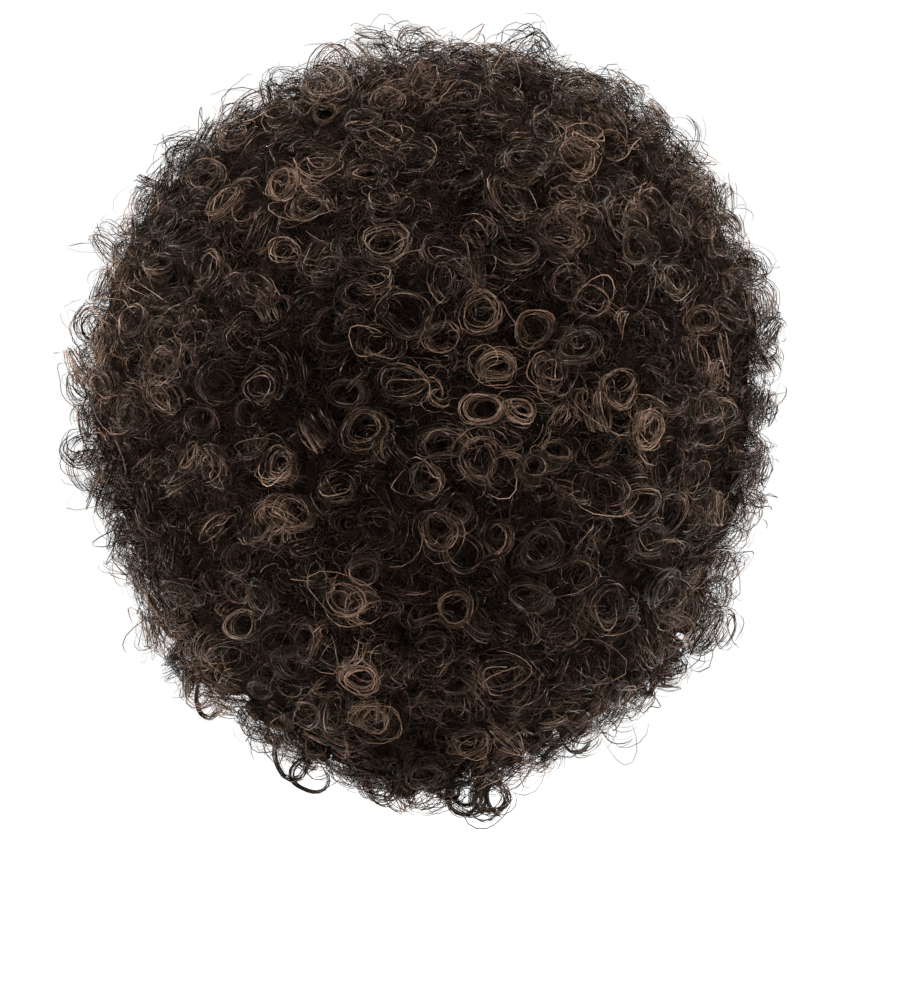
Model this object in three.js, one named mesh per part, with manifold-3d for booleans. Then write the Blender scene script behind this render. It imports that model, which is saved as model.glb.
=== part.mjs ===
// A round afro wig: a stretch cap that fits the head, and six panels of ring curls sewn on it.
// Millimetres. +Z is up and the face looks along -Y, so the wearer's left is +X.
// The origin is the inside of the cap's crown, where the top of the head bears.
import * as THREE from 'three';
import { mergeVertices } from 'three/addons/utils/BufferGeometryUtils.js';
import { ConvexGeometry } from 'three/addons/geometries/ConvexGeometry.js';
import Module from 'manifold-3d';

const wasm = await Module();
wasm.setup();

// The head that the cap fits, as half sizes about its widest level.
const HEAD_HALF_WIDTH = 77;
const HEAD_HALF_DEPTH = 97;
const CROWN_HEIGHT = 100;
const SKULL_DROP = 118;

// The cap.
const CAP_WALL = 1.6;
const CAP_ROWS = 9;

// Facets round the cap and the hair. Both have the same, so the gap between them is even.
const TURNS = 32;

// The hair mass without the ends of its locks, as half sizes about its widest level.
// HAIR_DROP reaches to where the mass would close if no neck came through it.
const HAIR_LEVEL = -60;
const HAIR_RISE = 184;
const HAIR_DROP = 290;
const HAIR_HALF_WIDTH = 197;
const HAIR_BACK = 211;
const HAIR_FRONT = 148;
const HAIR_LUMP = 4;
const SIDE_EXPONENT = 1.25;
const DEPTH_EXPONENT = 0.9;
const HEM_ROWS = 2;

// The locks that stand out of the mass: each is the open end of a ring curl.
const LOCK_RADIUS = 18;
const LOCK_LENGTH = 15;
const LOCK_ROOT = 14;
const LOCK_NECK_SHARE = 0.75;
const LOCK_HOLLOW = 9;
const LOCK_SPACING = 55;
const LOCK_SIDES = 6;
const LOCK_LEAN_SHARE = 0.22;
const HEM_LOCK_SPACING = 50;
const HEM_SAG_SHARE = 0.8;

// Clearances between the sewn pieces.
const SEWING_GAP = 0.4;
const PANEL_GAP = 0.8;

// The cap's rim: its drop below the crown, as a share of CROWN_HEIGHT.
// Turn is in degrees round the head, 0 at the face and 180 at the nape.
const RIM = [
  { turn: 0, drop: 0.5 },
  { turn: 30, drop: 0.54 },
  { turn: 52, drop: 0.72 },
  { turn: 70, drop: 1.1 },
  { turn: 92, drop: 0.94 },
  { turn: 112, drop: 1.06 },
  { turn: 135, drop: 1.4 },
  { turn: 180, drop: 1.62 },
];

// The hair's hem: its drop below the hair's widest level, as a share of HAIR_DROP.
// It frames the face, falls to the jaw at the sides and to the shoulders at the nape.
const HEM = [
  { turn: 0, drop: 0.1 },
  { turn: 26, drop: 0.12 },
  { turn: 38, drop: 0.26 },
  { turn: 52, drop: 0.54 },
  { turn: 70, drop: 0.59 },
  { turn: 95, drop: 0.6 },
  { turn: 118, drop: 0.66 },
  { turn: 145, drop: 0.79 },
  { turn: 180, drop: 0.85 },
];

// The panels, as shares of their reach to each corner of a box round the head's middle.
const PANEL_MIDDLE_SHARE = 0.8;
const PANEL_REACH = 700;
const PANEL_TOP_SHARE = 0.9;
const PANEL_NAPE_SHARE = -0.55;
const PANEL_BOTTOM_SHARE = -4.5;

// The drop in a table at a turn, rounded a little between its rows.
function dropAt(table, turn) {
  const next = Math.max(1, table.findIndex((row) => row.turn >= turn));
  const [low, high] = [table[next - 1], table[next]];
  const straight = (turn - low.turn) / (high.turn - low.turn);
  const rounded = THREE.MathUtils.smoothstep(turn, low.turn, high.turn);
  return THREE.MathUtils.lerp(low.drop, high.drop, (straight + rounded) / 2);
}

// Degrees round from the face, 0 to 180, of a direction in plan.
function turnOf(direction) {
  return THREE.MathUtils.radToDeg(Math.acos(THREE.MathUtils.clamp(-Math.sin(direction), -1, 1)));
}

// A fixed scatter from 0 to 1 for each lock and each purpose.
function scatter(lock, purpose) {
  const value = Math.sin(lock * 12.9898 + purpose * 78.233) * 43758.5453;
  return value - Math.floor(value);
}

function solidFrom(geometry) {
  const bare = geometry.clone();
  bare.deleteAttribute('normal');
  bare.deleteAttribute('uv');
  const merged = mergeVertices(bare, 1e-4);
  return new wasm.Manifold(new wasm.Mesh({
    numProp: 3,
    vertProperties: new Float32Array(merged.attributes.position.array),
    triVerts: new Uint32Array(merged.index.array),
  }));
}

function geometryFrom(solid) {
  const mesh = solid.getMesh();
  const geometry = new THREE.BufferGeometry();
  geometry.setAttribute('position', new THREE.BufferAttribute(mesh.vertProperties, 3));
  geometry.setIndex(new THREE.BufferAttribute(mesh.triVerts, 1));
  geometry.computeVertexNormals();
  return geometry;
}

// A sphere's grid folded into a shell: its upper half is the outside, in rows from the crown to the edge,
// and its lower half turns back up as the inside.
function foldedShell(rows, outside, inside) {
  const lastRow = 2 * rows + 1;
  const geometry = new THREE.SphereGeometry(1, TURNS, lastRow);
  const position = geometry.attributes.position;
  for (let row = 0; row <= lastRow; row += 1) {
    for (let turn = 0; turn <= TURNS; turn += 1) {
      const direction = Math.PI + (2 * Math.PI * (turn % TURNS)) / TURNS;
      const point = row <= rows ? outside(direction, row) : inside(direction, lastRow - row);
      position.setXYZ(row * (TURNS + 1) + turn, point.x, point.y, point.z);
    }
  }
  // Each four-sided facet of the inside is split along its other diagonal, so it lies parallel to the outside.
  const index = geometry.index;
  for (let row = rows + 1; row < lastRow - 1; row += 1) {
    for (let turn = 0; turn < TURNS; turn += 1) {
      const first = 3 * TURNS * (2 * row - 1) + 6 * turn;
      index.setX(first + 2, index.getX(first + 4));
      index.setX(first + 3, index.getX(first));
    }
  }
  return geometry;
}

// A point of the head's form, grown by an offset, at an angle down from the crown.
function headPoint(direction, angle, grown) {
  const tall = (angle < Math.PI / 2 ? CROWN_HEIGHT : SKULL_DROP) + grown;
  return new THREE.Vector3(
    Math.cos(direction) * (HEAD_HALF_WIDTH + grown) * Math.sin(angle),
    Math.sin(direction) * (HEAD_HALF_DEPTH + grown) * Math.sin(angle),
    tall * Math.cos(angle) - CROWN_HEIGHT,
  );
}

// The angle down from the crown at which the head's form has fallen to a height.
function headAngle(height, grown) {
  const above = height + CROWN_HEIGHT;
  const tall = (above > 0 ? CROWN_HEIGHT : SKULL_DROP) + grown;
  return Math.acos(THREE.MathUtils.clamp(above / tall, -1, 1));
}

function rimAngle(direction) {
  return headAngle(-CROWN_HEIGHT * dropAt(RIM, turnOf(direction)), 0);
}

// A point of the cap's rows, which run from the crown to the rim.
function capPoint(direction, row, grown) {
  return headPoint(direction, (row / CAP_ROWS) * rimAngle(direction), grown);
}

function capShell() {
  return foldedShell(
    CAP_ROWS,
    (direction, row) => capPoint(direction, row, CAP_WALL),
    (direction, row) => capPoint(direction, row, 0),
  );
}

// A point of the hair mass: an ellipsoid above its widest level, tapering down to the hem below it,
// with low, wide lumps.
function hairPoint(direction, angle) {
  const lower = angle > Math.PI / 2;
  const wide = Math.sin(angle) ** (lower ? SIDE_EXPONENT : 1);
  const long = Math.sin(angle) ** (lower ? DEPTH_EXPONENT : 1);
  const depth = Math.sin(direction) > 0 ? HAIR_BACK : HAIR_FRONT;
  const lump = HAIR_LUMP * Math.sin(3 * direction + 4 * angle) * Math.sin(5 * angle) * Math.sin(angle);
  return new THREE.Vector3(
    Math.cos(direction) * (HAIR_HALF_WIDTH * wide + lump),
    Math.sin(direction) * (depth * long + lump),
    HAIR_LEVEL + (lower ? HAIR_DROP : HAIR_RISE) * Math.cos(angle),
  );
}

function hemAngle(direction) {
  return Math.acos(-dropAt(HEM, turnOf(direction)));
}

// The hair's inner surface: it lies on the cap row by row, and below the rim it follows the head
// to the level of the cap's nape and drops straight from there to the hem.
function scalpPoint(direction, row) {
  const grown = CAP_WALL + SEWING_GAP;
  if (row <= CAP_ROWS) return capPoint(direction, row, grown);
  const rim = headPoint(direction, rimAngle(direction), grown).z;
  const hem = hairPoint(direction, hemAngle(direction)).z;
  const height = THREE.MathUtils.lerp(rim, hem, (row - CAP_ROWS) / HEM_ROWS);
  const nape = -CROWN_HEIGHT * RIM[RIM.length - 1].drop;
  const point = headPoint(direction, headAngle(Math.max(height, nape), grown), grown);
  point.z = height;
  return point;
}

function hairMass() {
  const rows = CAP_ROWS + HEM_ROWS;
  const outside = (direction, row) => hairPoint(direction, (row / rows) * hemAngle(direction));
  return solidFrom(foldedShell(rows, outside, scalpPoint));
}

// The open end of one ring curl: a short flared plug with a dished end, lying along an outward axis.
function lock({ root, axis, size }) {
  const radius = LOCK_RADIUS * size;
  const profile = [
    new THREE.Vector2(0, -LOCK_ROOT),
    new THREE.Vector2(radius * LOCK_NECK_SHARE, -LOCK_ROOT),
    new THREE.Vector2(radius, LOCK_LENGTH * size),
    new THREE.Vector2(0, LOCK_LENGTH * size - LOCK_HOLLOW),
  ];
  const geometry = new THREE.LatheGeometry(profile, LOCK_SIDES);
  geometry.applyQuaternion(new THREE.Quaternion().setFromUnitVectors(new THREE.Vector3(0, 1, 0), axis));
  geometry.translate(root.x, root.y, root.z);
  return solidFrom(geometry);
}

// The outward normal of the mass, from two short steps along its surface.
function hairNormal(direction, angle) {
  const step = 0.02;
  const across = hairPoint(direction + step, angle).sub(hairPoint(direction - step, angle));
  const down = hairPoint(direction, angle + step).sub(hairPoint(direction, angle - step));
  return down.cross(across).normalize();
}

// Locks spread evenly by the golden turn down to the hem, then one row along the hem that sags.
function lockPlaces() {
  const places = [];
  const add = (direction, angle, sag) => {
    const number = places.length;
    const lean = new THREE.Vector3(
      scatter(number, 1) - 0.5,
      scatter(number, 2) - 0.5,
      scatter(number, 3) - 0.5,
    ).multiplyScalar(2 * LOCK_LEAN_SHARE);
    const axis = hairNormal(direction, angle).add(lean).add(new THREE.Vector3(0, 0, -sag)).normalize();
    places.push({ root: hairPoint(direction, angle), axis, size: 0.86 + 0.26 * scatter(number, 4) });
  };
  const radius = (HAIR_HALF_WIDTH + HAIR_BACK) / 2;
  const count = Math.round((4 * Math.PI * radius ** 2) / (Math.sqrt(0.75) * LOCK_SPACING ** 2));
  const hemRoom = LOCK_SPACING / radius;
  for (let place = 0; place < count; place += 1) {
    const direction = (place * Math.PI * (3 - Math.sqrt(5))) % (2 * Math.PI);
    const angle = Math.acos(1 - (2 * place + 1) / count);
    if (angle < hemAngle(direction) - hemRoom) add(direction, angle, 0);
  }
  let direction = 0;
  while (direction < 2 * Math.PI - 0.5 * hemRoom) {
    const angle = hemAngle(direction) - 0.35 * hemRoom;
    add(direction, angle, HEM_SAG_SHARE);
    const { x, y } = hairPoint(direction, angle);
    direction += HEM_LOCK_SPACING / Math.hypot(x, y);
  }
  return places;
}

// The space of one panel: a pyramid from the middle of the head through four corners of a box.
function panelSpace(corners, away) {
  const shift = new THREE.Vector3(...away).normalize().multiplyScalar(PANEL_GAP);
  const tip = new THREE.Vector3(0, 0, -PANEL_MIDDLE_SHARE * CROWN_HEIGHT).add(shift);
  const far = corners.map((corner) => new THREE.Vector3(...corner).multiplyScalar(PANEL_REACH).add(tip));
  return [tip, ...far];
}

// Whether a point lies on the inner side of each face that meets a pyramid's tip.
function holds([tip, ...corners], point) {
  const inside = corners.reduce((sum, corner) => sum.add(corner), new THREE.Vector3()).divideScalar(4);
  return corners.every((corner, number) => {
    const next = corners[(number + 1) % corners.length];
    const normal = corner.clone().sub(tip).cross(next.clone().sub(tip));
    return normal.dot(point.clone().sub(tip)) * normal.dot(inside.clone().sub(tip)) > 0;
  });
}

const [L, R, F, B] = [1, -1, -1, 1];
const [T, N, D] = [PANEL_TOP_SHARE, PANEL_NAPE_SHARE, PANEL_BOTTOM_SHARE];
const PANELS = [
  { name: 'crown_curls', away: [0, 0, 1], corners: [[L, F, T], [L, B, T], [R, B, T], [R, F, T]] },
  { name: 'fringe_curls', away: [0, F, 0], corners: [[L, F, T], [L, F, D], [R, F, D], [R, F, T]] },
  { name: 'left_side_curls', away: [L, 0, 0], corners: [[L, F, T], [L, B, T], [L, B, D], [L, F, D]] },
  { name: 'right_side_curls', away: [R, 0, 0], corners: [[R, F, T], [R, B, T], [R, B, D], [R, F, D]] },
  { name: 'back_curls', away: [0, B, 0], corners: [[L, B, T], [L, B, N], [R, B, N], [R, B, T]] },
  { name: 'nape_curls', away: [0, B, -2], corners: [[L, B, N], [L, B, D], [R, B, D], [R, B, N]] },
];

const hairMaterial = new THREE.MeshStandardMaterial({ color: 0x3a2c25, roughness: 0.55, metalness: 0 });
const capMaterial = new THREE.MeshStandardMaterial({ color: 0x1d1613, roughness: 0.85, metalness: 0 });

function named(name, geometry, material) {
  const mesh = new THREE.Mesh(geometry, material);
  mesh.name = name;
  return mesh;
}

const wig = new THREE.Group();
wig.add(named('cap', capShell(), capMaterial));

const mass = hairMass();
const places = lockPlaces();
for (const panel of PANELS) {
  const space = panelSpace(panel.corners, panel.away);
  const locks = places.filter((place) => holds(space, place.root));
  const full = locks.reduce((solid, place) => solid.add(lock(place)), mass);
  const cut = full.intersect(solidFrom(new ConvexGeometry(space)));
  wig.add(named(panel.name, geometryFrom(cut), hairMaterial));
}

export default wig;
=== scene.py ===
import math

import bpy
import numpy as np
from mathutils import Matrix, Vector


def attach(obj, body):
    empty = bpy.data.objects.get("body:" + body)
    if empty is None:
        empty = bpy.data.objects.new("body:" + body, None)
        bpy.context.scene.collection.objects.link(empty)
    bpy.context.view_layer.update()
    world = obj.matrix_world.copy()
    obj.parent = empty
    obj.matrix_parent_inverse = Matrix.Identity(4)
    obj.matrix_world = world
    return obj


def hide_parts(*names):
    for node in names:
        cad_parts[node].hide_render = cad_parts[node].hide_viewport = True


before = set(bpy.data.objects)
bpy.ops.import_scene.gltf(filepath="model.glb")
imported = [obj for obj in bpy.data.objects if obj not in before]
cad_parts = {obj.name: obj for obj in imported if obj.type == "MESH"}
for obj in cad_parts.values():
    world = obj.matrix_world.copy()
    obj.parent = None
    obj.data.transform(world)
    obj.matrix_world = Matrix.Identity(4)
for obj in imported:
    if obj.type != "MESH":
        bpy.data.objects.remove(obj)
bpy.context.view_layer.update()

chance = np.random.default_rng(7)

# Packed fibre inside the curls.
# The curls are so many that their roots close up into a felted mass on the cap. Its near black colour is
# painted shade, for the deep hair that little light reaches.
# It is one thick shell from the cap out to just under the curls' ends, a little lumpy and ragged.
HAIR_LEVEL, HAIR_RISE, HAIR_DROP = -0.060, 0.184, 0.290
HAIR_HALF_WIDTH, HAIR_BACK, HAIR_FRONT = 0.197, 0.211, 0.148
HAIR_LEAN = 0.013
PACKED_DEPTH = 0.0008
HEAD_HALF_WIDTH, HEAD_HALF_DEPTH, CROWN_HEIGHT, SKULL_DROP = 0.077, 0.097, 0.100, 0.118
CAP_WALL = 0.0016
NAPE_LEVEL = -0.162
# The hem: degrees round from the face, and there its share of the drop below the widest level
HEM_TURN = [0, 26, 38, 52, 70, 95, 118, 145, 180]
HEM_DROP = [0.10, 0.12, 0.26, 0.54, 0.59, 0.60, 0.66, 0.79, 0.85]


def turn_of(direction):
    """Degrees round from the face, 0 to 180: the arc cosine of minus the direction's sine."""
    return np.degrees(np.arccos(np.clip(-np.sin(direction), -1, 1)))


def drop_at(turn, turns, drops):
    """A table's drop at a turn: half the straight line between its rows and half the smooth step."""
    row = np.clip(np.searchsorted(turns, turn), 1, len(turns) - 1)
    low, high = np.take(turns, row - 1), np.take(turns, row)
    straight = np.clip((turn - low) / (high - low), 0, 1)
    rounded = straight ** 2 * (3 - 2 * straight)
    above, below = np.take(drops, row - 1), np.take(drops, row)
    return above + (below - above) * (straight + rounded) / 2


def hem_angle(direction):
    """The angle down from the top at which the hair ends: its cosine is minus the hem's share of the drop."""
    return np.arccos(-drop_at(turn_of(direction), HEM_TURN, HEM_DROP))


def hair_point(direction, angle, out=0.0):
    """A point of the hair's form: half sizes grown by out, times the sine of the angle, which is raised
    to 1.25 across and 0.9 along below the widest level, and height by its cosine. The hair leans over to
    the wearer's right, as its weight has settled there."""
    lower = angle > np.pi / 2
    sine = np.sin(angle).clip(0, 1)
    wide = np.where(lower, sine ** 1.25, sine)
    long = np.where(lower, sine ** 0.9, sine)
    depth = np.where(np.sin(direction) > 0, HAIR_BACK, HAIR_FRONT)
    lump = 0.004 * np.sin(3 * direction + 4 * angle) * np.sin(5 * angle) * sine
    settled = HAIR_LEAN * np.cos(angle).clip(0, 1)
    return np.stack([
        np.cos(direction) * ((HAIR_HALF_WIDTH + out) * wide + lump) - settled,
        np.sin(direction) * ((depth + out) * long + lump),
        HAIR_LEVEL + (np.where(lower, HAIR_DROP, HAIR_RISE) + out) * np.cos(angle) + 0 * direction,
    ], axis=-1)


CLUSTER_SWELL = 0.0060


def cluster(direction, angle):
    """Slow swells of the form, about 60 mm across: two crossed sines of direction and angle."""
    return np.sin(7 * direction + 5 * angle) * np.sin(11 * angle - 3 * direction)


PANELS = ["crown", "fringe", "left_side", "right_side", "back", "nape"]


def piece_from(name, corners, faces, sizes, tone, lay, material, *nodes, slot="curled_fibre"):
    """A mesh piece from arrays: its corners, its faces' corner numbers, and each face's count of them."""
    mesh = bpy.data.meshes.new(name)
    mesh.vertices.add(len(corners))
    mesh.vertices.foreach_set("co", corners.astype(np.float32).ravel())
    mesh.loops.add(len(faces))
    mesh.loops.foreach_set("vertex_index", faces.astype(np.int32))
    mesh.polygons.add(len(sizes))
    mesh.polygons.foreach_set("loop_start", np.concatenate([[0], np.cumsum(sizes)[:-1]]).astype(np.int32))
    mesh.update(calc_edges=True)
    mesh.polygons.foreach_set("use_smooth", np.ones(len(sizes), dtype=bool))
    tones = mesh.attributes.new("tone", "FLOAT", "POINT")
    tones.data.foreach_set("value", tone.astype(np.float32).ravel())
    lays = mesh.attributes.new("lay", "FLOAT_VECTOR", "POINT")
    lays.data.foreach_set("vector", lay.astype(np.float32).ravel())
    mesh.materials.append(material)
    piece = bpy.data.objects.new(name, mesh)
    bpy.context.scene.collection.objects.link(piece)
    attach(piece, "root")
    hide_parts(*nodes)
    return piece


def shell(outside, inside, top, bottom):
    """A closed folded shell: the outside's rows from its top down, then the inside's rows back up to the
    top of the hollow. Each row runs round the head; the two ends close in a point."""
    grid = np.concatenate([outside, inside[::-1]], axis=0)
    rows, turns = grid.shape[:2]
    corners = np.concatenate([[top], grid.reshape(-1, 3), [bottom]])
    row, turn = np.meshgrid(np.arange(rows - 1), np.arange(turns), indexing="ij")
    after = (turn + 1) % turns
    quads = 1 + np.stack([row * turns + turn, (row + 1) * turns + turn,
                          (row + 1) * turns + after, row * turns + after], axis=-1).reshape(-1, 4)
    turn = np.arange(turns)
    after = (turn + 1) % turns
    last = (rows - 1) * turns + 1
    start = np.stack([0 * turn, 1 + turn, 1 + after], axis=1)
    finish = np.stack([0 * turn + len(corners) - 1, last + after, last + turn], axis=1)
    faces = np.concatenate([quads.ravel(), start.ravel(), finish.ravel()])
    return corners, faces, np.array([4] * len(quads) + [3] * (len(start) + len(finish)))


def head_point(direction, angle, grown):
    """A point of the head's form: an ellipsoid about its widest level, grown by an offset."""
    tall = np.where(angle < np.pi / 2, CROWN_HEIGHT, SKULL_DROP) + grown
    return np.stack(np.broadcast_arrays(
        np.cos(direction) * (HEAD_HALF_WIDTH + grown) * np.sin(angle),
        np.sin(direction) * (HEAD_HALF_DEPTH + grown) * np.sin(angle),
        tall * np.cos(angle) - CROWN_HEIGHT,
    ), axis=-1)


def head_angle(height, grown):
    """The angle down from the crown at which the head's form has fallen to a height."""
    tall = np.where(height > -CROWN_HEIGHT, CROWN_HEIGHT, SKULL_DROP) + grown
    return np.arccos(np.clip((height + CROWN_HEIGHT) / tall, -1, 1))


def shell_piece(name, form, material, slot, nodes):
    """A piece from a shell. It has one material all over, so its tone and lay are left at nought."""
    corners, faces, sizes = form
    zero = np.zeros(len(corners))
    lay = np.zeros((len(corners), 3))
    return piece_from(name, corners, faces, sizes, zero, lay, material, *nodes, slot=slot)


def shell_grid():
    """A shell's grid: the directions round the head, and the shares of the way from its top to its edge."""
    return np.linspace(0, 2 * np.pi, 120, endpoint=False)[None, :], np.linspace(0, 1, 42)[1:, None]


direction, share = shell_grid()
low_hem_reach = 0.030
ragged = 0.004 * np.sin(13 * direction) * np.sin(29 * direction + 1)
ragged = ragged - low_hem_reach / np.tan(hem_angle(direction))
angle = share * (hem_angle(direction) + ragged)
lumpy = 0.0042 * np.sin(19 * direction + 9 * angle) * np.sin(17 * angle - 7 * direction)
lumpy = lumpy + 0.8 * CLUSTER_SWELL * cluster(direction, angle)
tucked = 0.008 * share ** 14
outside = hair_point(direction + 0 * share, angle, lumpy * np.sin(angle) - PACKED_DEPTH - tucked)
gap = CAP_WALL + 0.0009
end = head_angle(np.maximum(outside[-1:, :, 2], NAPE_LEVEL), gap)
inside = head_point(direction, share * end, gap)
lowest = inside[-1:] * [1, 1, 0] + outside[-1:] * [0, 0, 1]
packed = shell(outside, np.concatenate([inside, lowest]),
               [-HAIR_LEAN, 0, HAIR_LEVEL + HAIR_RISE - PACKED_DEPTH], [0, 0, gap])


def joined(tree, operation, first, second):
    """A maths node in a material's tree. Each input is a number or another node's output."""
    node = tree.nodes.new("ShaderNodeMath")
    node.operation = operation
    for socket, value in zip(node.inputs, (first, second)):
        if isinstance(value, float):
            socket.default_value = value
        else:
            tree.links.new(value, socket)
    return node.outputs[0]


def packed_look():
    """Matted curls: near black as painted shade deep in the hair, with dim fibres that run in rings round the
    middles of two sets of cells.
    A fibre is where the sine of the distance to the cell's middle is near its top."""
    material = bpy.data.materials.new("packed_fibre")
    material.use_nodes = True
    tree = material.node_tree
    nodes, links = tree.nodes, tree.links
    shader = nodes["Principled BSDF"]
    place = nodes.new("ShaderNodeTexCoord")
    crumple = nodes.new("ShaderNodeTexNoise")
    crumple.inputs["Scale"].default_value = 130.0
    crumple.inputs["Detail"].default_value = 2.0
    links.new(place.outputs["Object"], crumple.inputs["Vector"])
    shifted = nodes.new("ShaderNodeVectorMath")
    shifted.operation = "MULTIPLY_ADD"
    links.new(crumple.outputs["Color"], shifted.inputs[0])
    shifted.inputs[1].default_value = (0.009, 0.009, 0.009)
    links.new(place.outputs["Object"], shifted.inputs[2])

    def rings(scale, rate):
        """Fibres round the cells of one scale: the cube of the wave where it stands above nought."""
        cells = nodes.new("ShaderNodeTexVoronoi")
        cells.inputs["Scale"].default_value = scale
        links.new(shifted.outputs["Vector"], cells.inputs["Vector"])
        wave = joined(tree, "SINE", joined(tree, "MULTIPLY", cells.outputs["Distance"], rate), 0.0)
        return joined(tree, "POWER", joined(tree, "MAXIMUM", wave, 0.0), 3.0)

    fibres = joined(tree, "MAXIMUM", rings(48.0, 85.0), rings(76.0, 52.0))
    # Painted shade: near black, rising to a dim brown only on the fibres
    ramp = nodes.new("ShaderNodeValToRGB")
    first, last = ramp.color_ramp.elements
    first.position, first.color = 0.15, (0.0008, 0.0006, 0.0005, 1)
    last.position, last.color = 1.0, (0.0270, 0.0170, 0.0122, 1)
    links.new(joined(tree, "MULTIPLY", fibres, crumple.outputs["Fac"]), ramp.inputs["Fac"])
    links.new(ramp.outputs["Color"], shader.inputs["Base Color"])
    shader.inputs["Roughness"].default_value = 0.95
    shader.inputs["Specular IOR Level"].default_value = 0.0
    return material


shell_piece("packed_fibre", packed, packed_look(), "curled_fibre", [f"{name}_curls" for name in PANELS])

# The curls.
# Each is a lock of fine fibre set by heat into a tight tube, seen mostly by its open end.
# Its body is a dished tube of packed fibre, and strands wind round its rim, some of them straying.
RING_SPACING = 0.0300
STREAK_WIDTH = 0.0008
BODY_PROFILE = np.array([
    # radius and height as shares of the curl's radius, and the light that reaches it, painted into its tone,
    # from the root's middle over the rim into the hollow
    (0.00, -2.20, 0.00),
    (0.66, -2.20, 0.10),
    (0.82, -1.20, 0.26),
    (0.64, -0.72, 0.28),
    (0.38, -1.25, 0.00),
    (0.00, -1.50, 0.00),
])
BODY_SIDES = 8


def unit(vectors):
    """Vectors over their own lengths."""
    return vectors / np.linalg.norm(vectors, axis=-1, keepdims=True).clip(1e-9)


def hair_normal(direction, angle):
    """The way out of the hair's form: a step down the form crossed with a step round it."""
    step = 0.02
    across = hair_point(direction + step, angle) - hair_point(direction - step, angle)
    down = hair_point(direction, angle + step) - hair_point(direction, angle - step)
    return unit(np.cross(down, across))


def panel_of(points):
    """The panel that each point is in: 0 crown, 1 fringe, 2 left, 3 right, 4 back, 5 nape."""
    x, y, z = np.moveaxis(points - [0, 0, -0.080], -1, 0)
    side = np.where(x > 0, 2, 3)
    ends = np.where(y < 0, 1, np.where(z > -0.55 * y, 4, 5))
    around = np.where(np.abs(x) > np.abs(y), side, ends)
    return np.where(z > 0.9 * np.maximum(np.abs(x), np.abs(y)), 0, around)


def area_steps(count, out):
    """Angles down the form at which equal shares of its area lie, for counts of 0 to 1."""
    angles = np.linspace(0, np.pi * 0.94, 400)
    meridian = hair_point(np.full_like(angles, np.pi / 2), angles, out)
    step = np.linalg.norm(np.diff(meridian, axis=0), axis=1)
    girth = 2 * np.pi * np.sin((angles[1:] + angles[:-1]) / 2) * HAIR_HALF_WIDTH
    area = np.concatenate([[0], np.cumsum(step * girth)])
    return np.interp(count * area[-1], area, angles), area[-1]


def even_places(spacing, out):
    """Evenly spread places: the golden turn round the form, and equal steps of area down it. Each has the
    area that rows of even triangles would give it. Chance moves it by an angle, as if the form were round."""
    usual_radius = 0.2
    count = int(area_steps(np.array([1.0]), out)[1] / (0.866 * spacing ** 2))
    place = np.arange(count)
    angle, _ = area_steps((place + 0.5) / count, out)
    direction = (place * np.pi * (3 - 5 ** 0.5)) % (2 * np.pi)
    jitter = chance.normal(0, 0.17 * spacing / usual_radius, (2, count))
    return direction + jitter[1] / np.maximum(np.sin(angle), 0.1), np.abs(angle + jitter[0])


def chance_places(count):
    """Chance places, as many to each patch of area, above the hem."""
    angle, _ = area_steps(chance.random(2 * count), 0.0)
    direction = chance.uniform(0, 2 * np.pi, 2 * count)
    keep = np.flatnonzero(angle < hem_angle(direction) - 0.02)[:count]
    return direction[keep], angle[keep]


def frame_of(axis):
    """Two directions square to each axis and to each other."""
    helper = np.where(np.abs(axis[:, 2:3]) < 0.9, [[0.0, 0.0, 1.0]], [[1.0, 0.0, 0.0]])
    across = unit(np.cross(helper, axis))
    return across, np.cross(axis, across)


def curl_places(spacing, out, rough):
    """Places of the curls' ends above the hem, the way out there, and how far chance raises each."""
    direction, angle = even_places(spacing, out)
    hem_row = 0.075
    keep = angle < hem_angle(direction) - hem_row
    direction, angle = direction[keep], angle[keep]
    raised = chance.normal(0, rough, direction.size)
    lift = out + CLUSTER_SWELL * cluster(direction, angle) + raised
    return hair_point(direction, angle, lift), hair_normal(direction, angle), raised


def hem_places(spacing, share, out):
    """Places along the hem, at a share of the way from its outer edge to its inner edge, and the way out
    there: square to the hem's surface, turned outwards near its outer edge."""
    direction = np.linspace(0, 2 * np.pi, 721)
    outer = hair_point(direction, hem_angle(direction))
    inner = head_point(direction, head_angle(np.maximum(outer[:, 2], NAPE_LEVEL), 0.002), 0.002)
    inner[:, 2] = outer[:, 2]
    line = outer + (inner - outer) * share
    along = np.concatenate([[0], np.cumsum(np.linalg.norm(np.diff(line, axis=0), axis=1))])
    count = int(along[-1] / spacing)
    at = (np.arange(count) + chance.uniform(-0.25, 0.25, count) + 0.5) / count * along[-1]

    def pick(table):
        """The table's rows at the chosen lengths along the hem."""
        return np.stack([np.interp(at, along, table[:, k]) for k in range(3)], axis=-1)

    tangent = unit(np.gradient(line, axis=0))
    inward = unit(inner - outer)
    away = unit(np.cross(tangent, inward))
    away = np.where(np.sum(away * [0, -0.4, -1], axis=1, keepdims=True) < 0, -away, away)
    outward = unit(hair_normal(direction, hem_angle(direction)))
    axis = unit(pick(away) + pick(outward) * (0.9 - 1.6 * share))
    return pick(line) + axis * (out + chance.normal(0, 0.002, (count, 1))), axis


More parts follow.
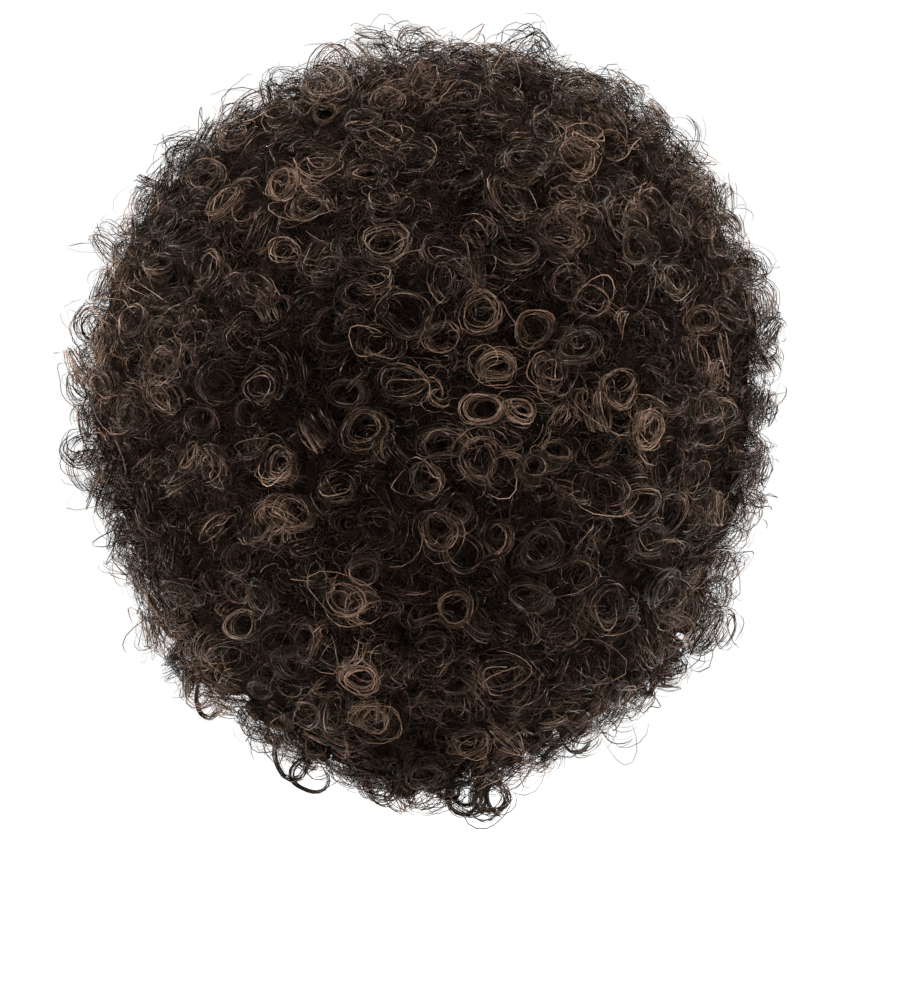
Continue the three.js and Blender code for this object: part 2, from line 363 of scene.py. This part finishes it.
def curl_forms(radius, tip, axis, raised):
    """A table of the curls: each one's tip, axis leaned by chance, two directions square to it, and sizes."""
    count = len(tip)
    lean = chance.choice([0.16, 0.42, 1.0], count, p=[0.36, 0.32, 0.32])[:, None]
    stem = axis
    axis = unit(axis + lean * chance.normal(0, 1, (count, 3)))
    across, up = frame_of(axis)
    return {
        "stem": stem, "leaned": lean[:, 0],
        "tip": tip, "axis": axis, "across": across, "up": up,
        "raised": np.maximum(raised, np.zeros(count)),
        "radius": radius * chance.uniform(0.74, 1.18, count),
        "flat": chance.uniform(0.80, 1.0, count),
        "wave": chance.uniform(0, 2 * np.pi, (3, count)),
        "bend": chance.normal(0, 0.16, (2, count)),
        "hand": chance.choice([-1.0, 1.0], count),
        "untidy": chance.beta(1.1, 1.6, count),
        "tone": np.clip(chance.normal(0.46, 0.13, count), 0, 1),
        "panel": panel_of(tip),
    }


def placed(curls, which, x, y, z):
    """Points at x and y along the curl's two directions and z along its axis, from its tip."""
    tip, *ways = (curls[part][which] for part in ("tip", "across", "up", "axis"))
    return tip[:, None, :] + sum(far[..., None] * way[:, None, :] for far, way in zip((x, y, z), ways))


def bodies(name, curls, which):
    """A dished tube for each curl, turned from the profile and made a little oval and wavy. It leans less
    than the strands do, and stays down where they are raised."""
    count = len(which)
    stem = unit(curls["axis"] + 4.0 * curls["stem"])
    across, up = frame_of(stem)
    curls = {**curls, "axis": stem, "across": across, "up": up}
    turn = np.arange(BODY_SIDES) / BODY_SIDES * 2 * np.pi
    share, height, light = BODY_PROFILE[1:-1].T
    radius = curls["radius"][which][:, None, None]
    wave = curls["wave"][:, which][:, :, None, None]
    around = turn[None, None, :]
    level = np.arange(len(share))[None, :, None]
    size = radius * share[None, :, None] * (1 + 0.08 * np.cos(2 * around + wave[0])
                                            + 0.07 * np.cos(3 * around + wave[1] + level))
    raised = curls["raised"][which][:, None]
    tilt = 0.14 * np.sin(around + wave[2]) * (height[None, :, None] > -2.0)
    down = radius * (height[None, :, None] + tilt) - raised[..., None]
    bend = curls["bend"][:, which][:, :, None, None]
    x = size * np.cos(around) + bend[0] * down
    y = size * np.sin(around) * curls["flat"][which][:, None, None] + bend[1] * down
    rings = placed(curls, which, x.reshape(count, -1), y.reshape(count, -1), down.reshape(count, -1))
    pole_height = radius[:, :, 0] * BODY_PROFILE[[0, -1], 1][None, :] - raised
    poles = placed(curls, which, bend[0, :, :, 0] * pole_height, bend[1, :, :, 0] * pole_height, pole_height)
    corners = np.concatenate([rings, poles], axis=1)
    each = corners.shape[1]
    level, side = np.meshgrid(np.arange(len(share) - 1), np.arange(BODY_SIDES), indexing="ij")
    after = (side + 1) % BODY_SIDES
    quads = np.stack([level * BODY_SIDES + side, level * BODY_SIDES + after,
                      (level + 1) * BODY_SIDES + after, (level + 1) * BODY_SIDES + side], axis=-1)
    quads = quads.reshape(-1, 4)
    side = np.arange(BODY_SIDES)
    after = (side + 1) % BODY_SIDES
    last = (len(share) - 1) * BODY_SIDES
    root = np.stack([0 * side + each - 2, after, side], axis=1)
    hollow = np.stack([0 * side + each - 1, last + side, last + after], axis=1)
    first = (np.arange(count) * each)[:, None]
    faces = np.concatenate([first + quads.ravel(), first + root.ravel(), first + hollow.ravel()], axis=1)
    sizes = np.tile([4] * len(quads) + [3] * 2 * BODY_SIDES, count)
    length = np.concatenate([[0], np.cumsum(np.hypot(*np.diff(BODY_PROFILE[:, :2], axis=0).T))])
    along = radius[:, :, 0] * length[None, :] / STREAK_WIDTH
    number = which[:, None] * 11.7
    ring_lay = np.stack(np.broadcast_arrays(
        1.1 * np.cos(around) + number[..., None],
        1.1 * np.sin(around),
        along[:, 1:-1, None] + number[..., None],
    ), axis=-1).reshape(count, -1, 3)
    pole_lay = np.stack(np.broadcast_arrays(number, 0 * number, along[:, [0, -1]] + number), axis=-1)
    lay = np.concatenate([ring_lay, pole_lay], axis=1)
    # Painted light and shade: the profile's light is added to the tone, lighter on the rim, darker at the
    # root and in the hollow
    lit = np.concatenate([np.repeat(light, BODY_SIDES), BODY_PROFILE[[0, -1], 2]])
    tone = 0.55 * curls["tone"][which][:, None] - 0.04 + lit
    return name, corners.reshape(-1, 3), faces.ravel(), sizes, tone, lay


def strands(curls, number, turns, reach, band, loose, steps):
    """Helical strands round each curl: the radius times the cosine and sine of the winding angle along the
    curl's two directions, less the depth along its axis. Some of them stray."""
    count = len(curls["tip"])
    total = count * number
    which = np.repeat(np.arange(count), number)

    def column(name):
        """One of the curls' sizes, once for each strand."""
        return curls[name][..., which][..., None]

    def scattered(spread):
        """A chance number for each strand, about nought."""
        return chance.normal(0, spread, (total, 1))

    t = np.linspace(0, 1, steps)[None, :]
    stray = chance.random((total, 1)) < loose * column("untidy")
    layer = chance.beta(1.0, 1.4, (total, 1))
    depth = chance.beta(0.8, 1.7, (total, 1)) * reach * (1 + 0.8 * (column("leaned") > 0.6)) - 0.0012
    wound = 2 * np.pi * turns * chance.uniform(0.6, 1.3, (total, 1)) * t
    winding = chance.uniform(0, 2 * np.pi, (total, 1)) + column("hand") * wound
    wave = column("wave")
    size = column("radius") * (1 - band * layer) * (1 + np.where(stray, scattered(0.22), scattered(0.02)))
    size = size * (1 + 0.08 * np.cos(2 * winding + wave[0]) + 0.05 * np.cos(3 * winding + wave[1]))
    own = chance.uniform(0, 2 * np.pi, (3, total, 1))
    rate = chance.uniform(0.8, 2.6, (3, total, 1))
    sway = np.sin(own + rate * 2 * np.pi * t) * np.where(stray, 0.0013, 0.0003)
    down = depth + np.where(stray, 0.006, 0.003) * t * chance.random((total, 1))
    down = down - 0.14 * column("radius") * np.sin(winding + wave[2]) - 0.0006
    drift = chance.normal(0, 0.001, (2, total, 1)) * np.where(stray, 3.2, 0.5)
    bend = column("bend")
    x = size * np.cos(winding) + sway[0] + drift[0] - bend[0] * down
    y = size * np.sin(winding) * column("flat") + sway[1] + drift[1] - bend[1] * down
    lean = chance.normal(0, 1, (2, total, 1)) * np.where(stray, 0.4, 0.05)
    z = -down + sway[2] + lean[0] * x + lean[1] * y
    return placed(curls, which, x, y, z), curls["axis"][which], which


def loose_places(count, least, most):
    """Chance places in a layer of the hair, from least to most out of its form, and the way out there."""
    direction, angle = chance_places(count)
    out = least + (most - least) * chance.beta(1.2, 1.4, direction.size)
    out = out + CLUSTER_SWELL * cluster(direction, angle)
    return hair_point(direction, angle, out), hair_normal(direction, angle)


def tufts(centre, out, number, radius, lean, arched, steps):
    """Loose tufts: each is some near-parallel arcs, and each arc is part of a turn of a helix about an axis
    leaned by chance from the way out of the hair. A saddle bend keeps them from lying flat. A share of them
    are arched: their axis lies along the surface, and the arc's middle stands out from it."""
    groups = len(centre)
    total = groups * number
    which = np.repeat(np.arange(groups), number)
    arch = chance.random((groups, 1)) < arched
    along = np.cross(out, unit(chance.normal(0, 1, (groups, 3))))
    axis = unit(chance.normal(0, lean, (groups, 3)) + np.where(arch, 2.5 * unit(along), out))
    centre = centre - out * arch * 0.35 * radius
    across, up = frame_of(axis)
    form = {"tip": centre, "across": across, "up": up, "axis": axis}

    def each(least, most):
        """A chance number for each tuft, once for each of its arcs."""
        return chance.uniform(least, most, groups)[which][:, None]

    t = np.linspace(0, 1, steps)[None, :]
    size = radius * np.exp(chance.normal(0, 0.2, groups))[which][:, None]
    size = size * (1 + chance.normal(0, 0.12, (total, 1)))
    size = size * (1 + 0.08 * np.sin(chance.uniform(0, 2 * np.pi, (total, 1)) + 5 * t))
    span = each(0.38, 0.85) * chance.uniform(0.7, 1.1, (total, 1))
    outward = np.arctan2(np.sum(out * up, axis=1), np.sum(out * across, axis=1))[which][:, None]
    start = np.where(arch[which], outward - np.pi * span + each(-0.5, 0.5), each(0, 2 * np.pi))
    winding = start + chance.normal(0, 0.4, (total, 1)) + 2 * np.pi * span * t
    x = size * np.cos(winding) + chance.normal(0, 0.0011, (total, 1))
    y = size * np.sin(winding) * each(0.75, 1.0) + chance.normal(0, 0.0011, (total, 1))
    z = chance.normal(0, 0.0028, (total, 1)) + (t - 0.5) * chance.normal(0, 0.003, (total, 1))
    tilt = chance.normal(0, 0.12, (2, total, 1))
    saddle = 22 * chance.normal(0, 1, groups)[which][:, None] * x * y
    return placed(form, which, x, y, z + tilt[0] * x + tilt[1] * y + saddle), axis[which], which


def hanging(root, axis, number, steps):
    """Open loops that hang from a root: bundles of strands that start up at the root and wind half a turn
    to a turn and more about a level axis, the turn closing in slowly. Two groups hang lowest."""
    count = len(root)
    total = count * number
    which = np.repeat(np.arange(count), number)
    axis = unit(axis * [1, 1, 0.2] + chance.normal(0, 0.35, (count, 3)))
    across = unit(np.cross([0.0, 0.0, 1.0], axis))
    up = np.cross(axis, across)

    def each(least, most):
        """A chance number for each loop, once for each of its strands."""
        return chance.uniform(least, most, count)[which][:, None]

    radius = each(0.0062, 0.0135)
    x = root[:, :1]
    low = 0.024 * np.exp(-((x + 0.046) / 0.022) ** 2) + 0.006 * np.exp(-((x - 0.055) / 0.022) ** 2)
    drop = [0, 0, 1] * (radius + each(-0.012, -0.003) + low[which] * (root[which, 1:2] > 0))
    loose = each(0.4, 2.4)
    form = {"tip": root[which] - drop, "across": across[which], "up": up[which], "axis": axis[which]}
    t = np.linspace(0, 1, steps)[None, :]
    hand = np.where(each(-1, 1) > 0, 1, -1)
    span = each(0.45, 1.25) * (1 + 0.10 * loose * chance.normal(0, 1, (total, 1)))
    winding = np.pi / 2 + hand * (2 * np.pi * span * t - 0.4)
    size = radius * (1 - 0.22 * t) + 0.0007 * loose * chance.normal(0, 1, (total, 1)) * (0.5 + t)
    size = size * (1 + 0.12 * np.sin(each(0, 6.28) + 2.5 * winding))
    x = size * np.cos(winding) + 0.0005 * loose * chance.normal(0, 1, (total, 1))
    y = size * np.sin(winding) * each(0.75, 1.25) + 0.010 * np.exp(-7 * t)
    z = each(-0.010, 0.010) * t + 0.0009 * loose * chance.normal(0, 1, (total, 1)) * (0.5 + t)
    return placed(form, np.arange(total), x, y, z), axis[which], which


def ribbons(name, points, axis, width, tone):
    """Flat ribbons along the strands: at each point half the width to each side, square to the strand's run
    and turned slowly about it. The two ends narrow to a third."""
    total, steps, _ = points.shape
    run = unit(np.gradient(points, axis=1))
    t = np.linspace(0, 1, steps)[None, :]
    roll = chance.uniform(0, 2 * np.pi, (total, 1)) + chance.uniform(-2.0, 2.0, (total, 1)) * t
    first = unit(np.cross(run, axis[:, None, :]))
    second = np.cross(run, first)
    side = first * np.cos(roll)[..., None] + second * np.sin(roll)[..., None]
    taper = np.minimum(1, 0.3 + 5 * np.minimum(t, 1 - t))
    half = (width[:, None] * taper / 2)[..., None] * side
    corners = np.stack([points - half, points + half], axis=2).reshape(-1, 3)
    first_corner = (np.arange(total)[:, None] * steps + np.arange(steps - 1)[None, :]).reshape(-1) * 2
    faces = np.stack([first_corner, first_corner + 1, first_corner + 3, first_corner + 2], axis=1)
    number = np.arange(total)[:, None, None]
    edge = np.array([-0.5, 0.5])[None, None, :]
    # The lay's first number runs along the strand, so its streaks give short lighter dashes: painted glints
    # as well as the fibre's own streaks
    lay = np.stack(np.broadcast_arrays(
        8 * t[..., None] + 3.7 * number,
        2.3 * number + 0 * edge,
        edge * width[:, None, None] / STREAK_WIDTH + 5.1 * number,
    ), axis=-1)
    tones = np.repeat(tone, 2 * steps)
    return name, corners, faces.ravel(), np.full(len(faces), 4), tones, lay


def hair_material(name, streaks, patches, colours, sheen):
    """Fibre: fine streaks along the strands and slow patches are added to each curl's own tone, and the sum
    picks a brown. Along a strand the streaks are short lighter dashes, partly the fibre's own and partly
    painted glints. The colours are pairs of a tone and a red, green and blue."""
    material = bpy.data.materials.new(name)
    material.use_nodes = True
    tree = material.node_tree
    nodes, links = tree.nodes, tree.links
    shader = nodes["Principled BSDF"]
    tone = nodes.new("ShaderNodeAttribute")
    tone.attribute_name = "tone"
    lay = nodes.new("ShaderNodeAttribute")
    lay.attribute_name = "lay"
    streak = nodes.new("ShaderNodeTexNoise")
    streak.inputs["Scale"].default_value = 1.0
    streak.inputs["Detail"].default_value = 2.0
    streak.inputs["Roughness"].default_value = 0.6
    links.new(lay.outputs["Vector"], streak.inputs["Vector"])
    place = nodes.new("ShaderNodeTexCoord")
    patch = nodes.new("ShaderNodeTexNoise")
    patch.inputs["Scale"].default_value = 18.0
    patch.inputs["Detail"].default_value = 2.0
    links.new(place.outputs["Object"], patch.inputs["Vector"])
    total = tone.outputs["Fac"]
    for source, gain in [(streak, streaks), (patch, patches)]:
        centred = joined(tree, "SUBTRACT", source.outputs["Fac"], 0.5)
        total = joined(tree, "ADD", total, joined(tree, "MULTIPLY", centred, gain))
    ramp = nodes.new("ShaderNodeValToRGB")
    ramp.color_ramp.elements[0].position, ramp.color_ramp.elements[1].position = colours[0][0], colours[-1][0]
    for _ in colours[2:]:
        ramp.color_ramp.elements.new(0.5)
    for element, (position, colour) in zip(ramp.color_ramp.elements, colours):
        element.position, element.color = position, (*colour, 1)
    links.new(total, ramp.inputs["Fac"])
    links.new(ramp.outputs["Color"], shader.inputs["Base Color"])
    shader.inputs["Roughness"].default_value = 0.32
    shader.inputs["Specular IOR Level"].default_value = sheen
    shader.inputs["Specular Tint"].default_value = (1.0, 0.70, 0.48, 1)
    return material


fibre = hair_material("curled_fibre", streaks=1.9, patches=1.4, sheen=0.07, colours=[
    (0.10, (0.0013, 0.0009, 0.0007)),
    (0.45, (0.0088, 0.0055, 0.0040)),
    (0.75, (0.0352, 0.0212, 0.0149)),
    (1.00, (0.1090, 0.0665, 0.0455)),
])
# Painted shade: the curls' bodies and hollows get a darker brown than the strands, for the shade inside the
# curls
shade = hair_material("curl_hollows", streaks=2.6, patches=0.6, sheen=0.0, colours=[
    (0.15, (0.0011, 0.0008, 0.0006)),
    (0.45, (0.0065, 0.0042, 0.0031)),
    (0.90, (0.0450, 0.0285, 0.0210)),
])


def by_panel(kind, look, made, panel, *tables):
    """The same kind of piece once for each panel of curls, from the rows that lie in that panel."""
    for number, name in enumerate(PANELS):
        here = panel == number
        if not here.any():
            continue
        piece_from(*made(f"{name}_{kind}", *(table[here] for table in tables)), look, f"{name}_curls")


def hem_rows(rows):
    """Places in rows along the hem. Each row is a share of the way inwards, a spacing and a way out."""
    found = [hem_places(spacing, share, out) for share, spacing, out in rows]
    return np.concatenate([tips for tips, _ in found]), np.concatenate([axes for _, axes in found])


outer_radius, hem_radius = 0.0127, 0.0112
outer = curl_forms(outer_radius, *curl_places(RING_SPACING, out=0.0095, rough=0.0042))
hem = curl_forms(hem_radius, *hem_rows([
    (0.02, 0.021, 0.010), (0.22, 0.023, 0.011), (0.50, 0.028, 0.007), (0.80, 0.033, 0.005),
]), 0.0)


def body_pieces(kind, curls):
    """The bodies of all curls in a table, as one piece for each panel."""
    def made(name, which):
        """One panel's bodies."""
        return bodies(name, curls, which)

    by_panel(kind, shade, made, curls["panel"], np.arange(len(curls["tip"])))


body_pieces("curl_bodies", outer)
body_pieces("hem_bodies", hem)


def strand_pieces(kind, curls, widths, **form):
    """The strands of all curls in a table, as one piece for each panel. Each strand's tone is its curl's
    own, less the dimming for each metre that it lies below the tip, as less light gets down there."""
    dimming = 28
    points, axis, which = strands(curls, **form)
    middle = points[:, points.shape[1] // 2]
    below = np.sum((curls["tip"][which] - middle) * axis, axis=1)
    tone = np.clip(curls["tone"][which] - dimming * below + chance.normal(0.065, 0.15, len(which)), 0, 1.2)
    width = chance.uniform(*widths, len(which))
    by_panel(kind, fibre, ribbons, curls["panel"][which], points, axis, width, tone)


strand_pieces("ring_strands", outer, (0.00022, 0.00068),
              number=27, turns=0.80, reach=0.012, band=0.42, loose=0.95, steps=13)
strand_pieces("hem_strands", hem, (0.00024, 0.00066),
              number=21, turns=0.75, reach=0.016, band=0.30, loose=0.80, steps=13)


# Loose tufts and single strands between the curls.
# Fibres that have worked out of their curls stand up in small arcs, and single ones fly off the outline.
# They keep the bend of the curl that they came from.
def loose_pieces(kind, widths, usual, spread, points, axis, which):
    """Tufts as one piece for each panel. Each tuft's tone is drawn about the usual one."""
    own = chance.normal(usual, spread, which.max() + 1)[which]
    tone = np.clip(own + chance.normal(0, 0.14, len(which)), 0, 1.2)
    width = chance.uniform(*widths, len(which))
    by_panel(kind, fibre, ribbons, panel_of(points[:, 3]), points, axis, width, tone)


places = loose_places(1640, least=-0.0035, most=0.0105)
arcs = tufts(*places, number=9, radius=0.0088, lean=0.5, arched=0.45, steps=10)
loose_pieces("tufts", (0.00020, 0.00050), 0.42, 0.17, *arcs)
places = loose_places(4400, least=0.002, most=0.0115)
arcs = tufts(*places, number=1, radius=0.0062, lean=0.6, arched=0.4, steps=8)
loose_pieces("flyaways", (0.00013, 0.00024), 0.55, 0.2, *arcs)
places = hem_rows([
    (0.00, 0.011, 0.004), (0.10, 0.012, 0.005), (0.28, 0.013, 0.005), (0.50, 0.014, 0.003),
    (0.72, 0.016, 0.001), (0.93, 0.018, 0.000),
])
arcs = tufts(*places, number=8, radius=0.0080, lean=0.6, arched=0.35, steps=9)
loose_pieces("hem_tufts", (0.00022, 0.00054), 0.43, 0.16, *arcs)

# Curls that hang at the nape.
# Below the back's hem the longest curls hang free as open loops.
# They are thin bundles, sparser than the curls above, that thin out towards their tips.
root, _ = hem_rows([(0.02, 0.012, 0.0), (0.25, 0.015, -0.002), (0.50, 0.018, -0.002), (0.75, 0.022, -0.002)])
around = np.arctan2(root[:, 1], root[:, 0])
# The loops hang in groups about 55 mm apart, and only from the ears backwards
gathered = np.cos(115 * root[:, 0] + 0.4) < chance.uniform(-0.4, 1.3, len(root))
ear_turn = 84
root = root[(turn_of(around) > ear_turn) & gathered]
points, axis, which = hanging(root, unit(root * [1, 1, 0]), number=17, steps=17)
tone = np.clip(0.28 + chance.normal(0, 0.14, len(which)), 0, 1)
piece_from(*ribbons("nape_hanging_curls", points, axis, chance.uniform(0.00032, 0.00075, len(which)), tone),
           fibre, "nape_curls")


# The cap.
# A thin stretch net that fits the head, edged below the crown, with the curls sewn on in level rows.
# From inside it shows the net's fine holes and the thicker lines of the sewn rows.
# The rim: degrees round from the face, and there its drop as a share of the crown's height
RIM_TURN = [0, 30, 52, 70, 92, 112, 135, 180]
RIM_DROP = [0.5, 0.54, 0.72, 1.1, 0.94, 1.06, 1.4, 1.62]


def net_look():
    """Dark net: two crossed fine waves pit it, and a slow wave down it marks the sewn rows."""
    material = bpy.data.materials.new("cap_net")
    material.use_nodes = True
    tree = material.node_tree
    nodes, links = tree.nodes, tree.links
    shader = nodes["Principled BSDF"]
    place = nodes.new("ShaderNodeTexCoord")

    def wave(direction, scale, bend):
        """Bands across one direction, by their scale and how much they bend."""
        node = nodes.new("ShaderNodeTexWave")
        node.bands_direction = direction
        node.inputs["Scale"].default_value = scale
        node.inputs["Distortion"].default_value = bend
        links.new(place.outputs["Object"], node.inputs["Vector"])
        return node.outputs["Fac"]

    net = joined(tree, "MAXIMUM", wave("DIAGONAL", 330.0, 0.0), wave("Z", 330.0, 0.0))
    rows = joined(tree, "POWER", wave("Z", 24.0, 0.6), 6.0)
    height = joined(tree, "MAXIMUM", joined(tree, "MULTIPLY", net, 0.5), rows)
    ramp = nodes.new("ShaderNodeValToRGB")
    first, last = ramp.color_ramp.elements
    first.position, first.color = 0.25, (0.0030, 0.0022, 0.0018, 1)
    last.position, last.color = 1.0, (0.0260, 0.0170, 0.0130, 1)
    links.new(height, ramp.inputs["Fac"])
    links.new(ramp.outputs["Color"], shader.inputs["Base Color"])
    bump = nodes.new("ShaderNodeBump")
    bump.inputs["Distance"].default_value = 0.0006
    links.new(height, bump.inputs["Height"])
    links.new(bump.outputs["Normal"], shader.inputs["Normal"])
    shader.inputs["Roughness"].default_value = 0.85
    shader.inputs["Specular IOR Level"].default_value = 0.10
    return material


direction, share = shell_grid()
rim = head_angle(-CROWN_HEIGHT * drop_at(turn_of(direction), RIM_TURN, RIM_DROP), 0.0)
cap = shell(head_point(direction, share * rim, CAP_WALL), head_point(direction, share * rim, 0.0),
            [0, 0, CAP_WALL], [0, 0, 0])
shell_piece("net_cap", cap, net_look(), "cap_net", ["cap"])

# Curls seen inside.
# Below the cap's rim the hair's inner side shows the backs of the nape and side curls.
# They are loose tufts that stand off the packed fibre, with a lower tone than those outside as painted shade
# inside the wig.
inside_count = 420
direction = chance.uniform(0, 2 * np.pi, inside_count)
outer_hem = hair_point(direction, hem_angle(direction))
top = -CROWN_HEIGHT * drop_at(turn_of(direction), RIM_TURN, RIM_DROP)
height = top + (outer_hem[:, 2] - top) * chance.random(inside_count)
centre = head_point(direction, head_angle(np.maximum(height, NAPE_LEVEL), 0.0), 0.0)
centre[:, 2] = height
here = height < top - 0.004
inward = unit(-centre * [1, 1, 0])
points, axis, which = tufts(centre[here], inward[here],
                            number=5, radius=0.0085, lean=0.5, arched=0.3, steps=7)
# Painted shade: a lower tone than the tufts outside
tone = np.clip(chance.normal(0.28, 0.15, len(which)), 0, 1)
by_panel("inside_tufts", fibre, ribbons, panel_of(points[:, 3]), points, axis,
         chance.uniform(0.0002, 0.0004, len(which)), tone)

# The studio.
# A pale floor well below, an even white surround, and large soft lamps above, to each side and in front.
# The camera stands level behind the wig.
world = bpy.data.worlds.new("surround")
bpy.context.scene.world = world
world.use_nodes = True
world.node_tree.nodes["Background"].inputs["Color"].default_value = (1, 1, 1, 1)
world.node_tree.nodes["Background"].inputs["Strength"].default_value = 1.0
bpy.context.scene.view_settings.view_transform = "Standard"

camera = bpy.data.objects.new("camera", bpy.data.cameras.new("camera"))
bpy.context.scene.collection.objects.link(camera)
bpy.context.scene.camera = camera
distance, seen_height = 2.0, 0.616
camera.data.sensor_fit = "AUTO"
camera.data.sensor_width = 36.0
camera.data.lens = 36.0 * distance / seen_height
camera.location = (-0.0194, distance, -0.142)
camera.rotation_euler = (math.radians(90), 0, math.radians(180))
camera.data.clip_end = 20

far, level = 4, -0.62
floor_mesh = bpy.data.meshes.new("floor")
floor_corners = [(-far, -far, level), (far, -far, level), (far, far, level), (-far, far, level)]
floor_mesh.from_pydata(floor_corners, [], [(0, 1, 2, 3)])
floor_look = bpy.data.materials.new("floor")
floor_look.use_nodes = True
floor_look.node_tree.nodes["Principled BSDF"].inputs["Base Color"].default_value = (0.9, 0.9, 0.9, 1)
floor_mesh.materials.append(floor_look)
floor = bpy.data.objects.new("floor", floor_mesh)
bpy.context.scene.collection.objects.link(floor)


def lamp(name, location, size, power):
    """A soft square lamp that points at the middle of the wig."""
    light = bpy.data.objects.new(name, bpy.data.lights.new(name, "AREA"))
    light.data.size = size
    light.data.energy = power
    light.location = location
    toward = np.array([0, 0, -0.09]) - np.array(location)
    light.rotation_euler = Vector(toward).to_track_quat("-Z", "Y").to_euler()
    bpy.context.scene.collection.objects.link(light)


lamp("top_light", (0.1, 0.35, 1.6), 1.0, 110)
lamp("left_light", (-1.6, 0.2, 0.5), 0.8, 85)
lamp("right_light", (1.6, 0.2, 0.5), 0.8, 85)
lamp("front_light", (0.0, -1.7, 0.5), 0.8, 35)
